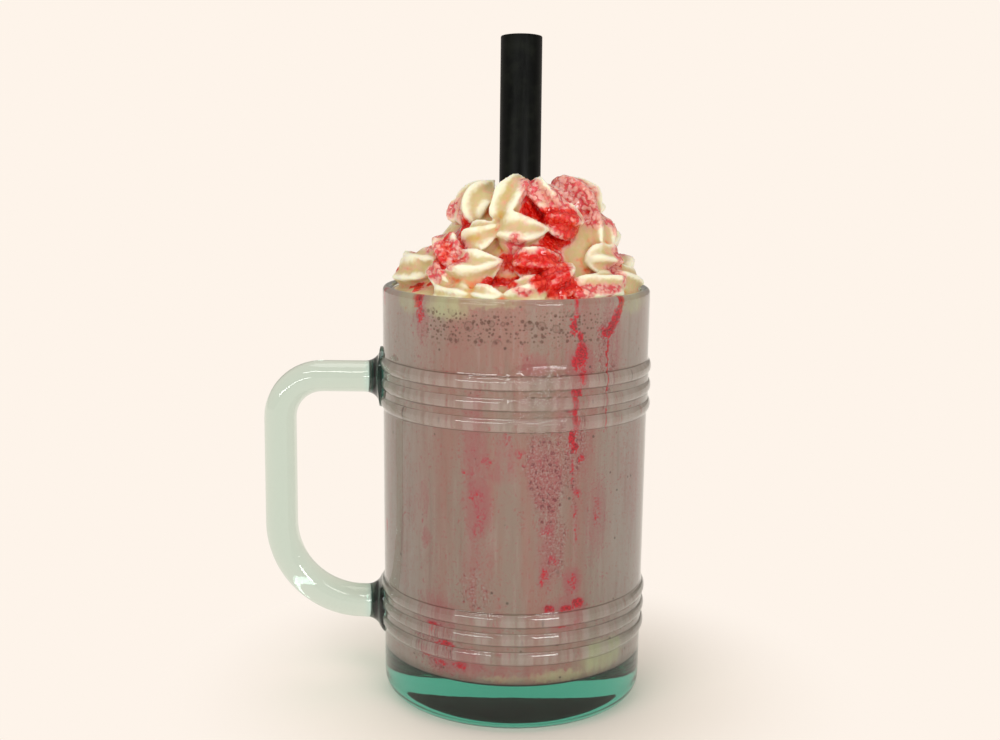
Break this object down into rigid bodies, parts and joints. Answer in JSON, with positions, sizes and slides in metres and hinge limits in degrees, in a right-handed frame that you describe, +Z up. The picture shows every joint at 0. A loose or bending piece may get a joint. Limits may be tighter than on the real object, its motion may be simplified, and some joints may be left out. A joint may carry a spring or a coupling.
{
  "type": "milkshake in a handled glass mug",
  "caption": "Milkshake in a green-tinted glass mug with a D handle and moulded ribs, topped with piped whipped cream and red sauce, with a wide black straw.",
  "frame": {"origin": "centre of the mug's flat underside", "axes": "+Z up along the mug's axis and the straw's length, -X towards the handle, +Y towards the side that the straw leans to"},
  "size_m": [0.1166, 0.0814, 0.1983],
  "materials": {
    "green_glass": "clear pressed glass with a pale green tint, polished",
    "milkshake": "thick opaque drink, brownish pink with red streaks, wet",
    "cream": "soft pale yellow whipped cream, stained pink and red by sauce",
    "black_plastic": "satin black, near smooth"
  },
  "bodies": {
    "root": {"mug": "green_glass", "milkshake": "milkshake", "whipped_cream": "cream", "straw": "black_plastic"}
  },
  "joints": []
}
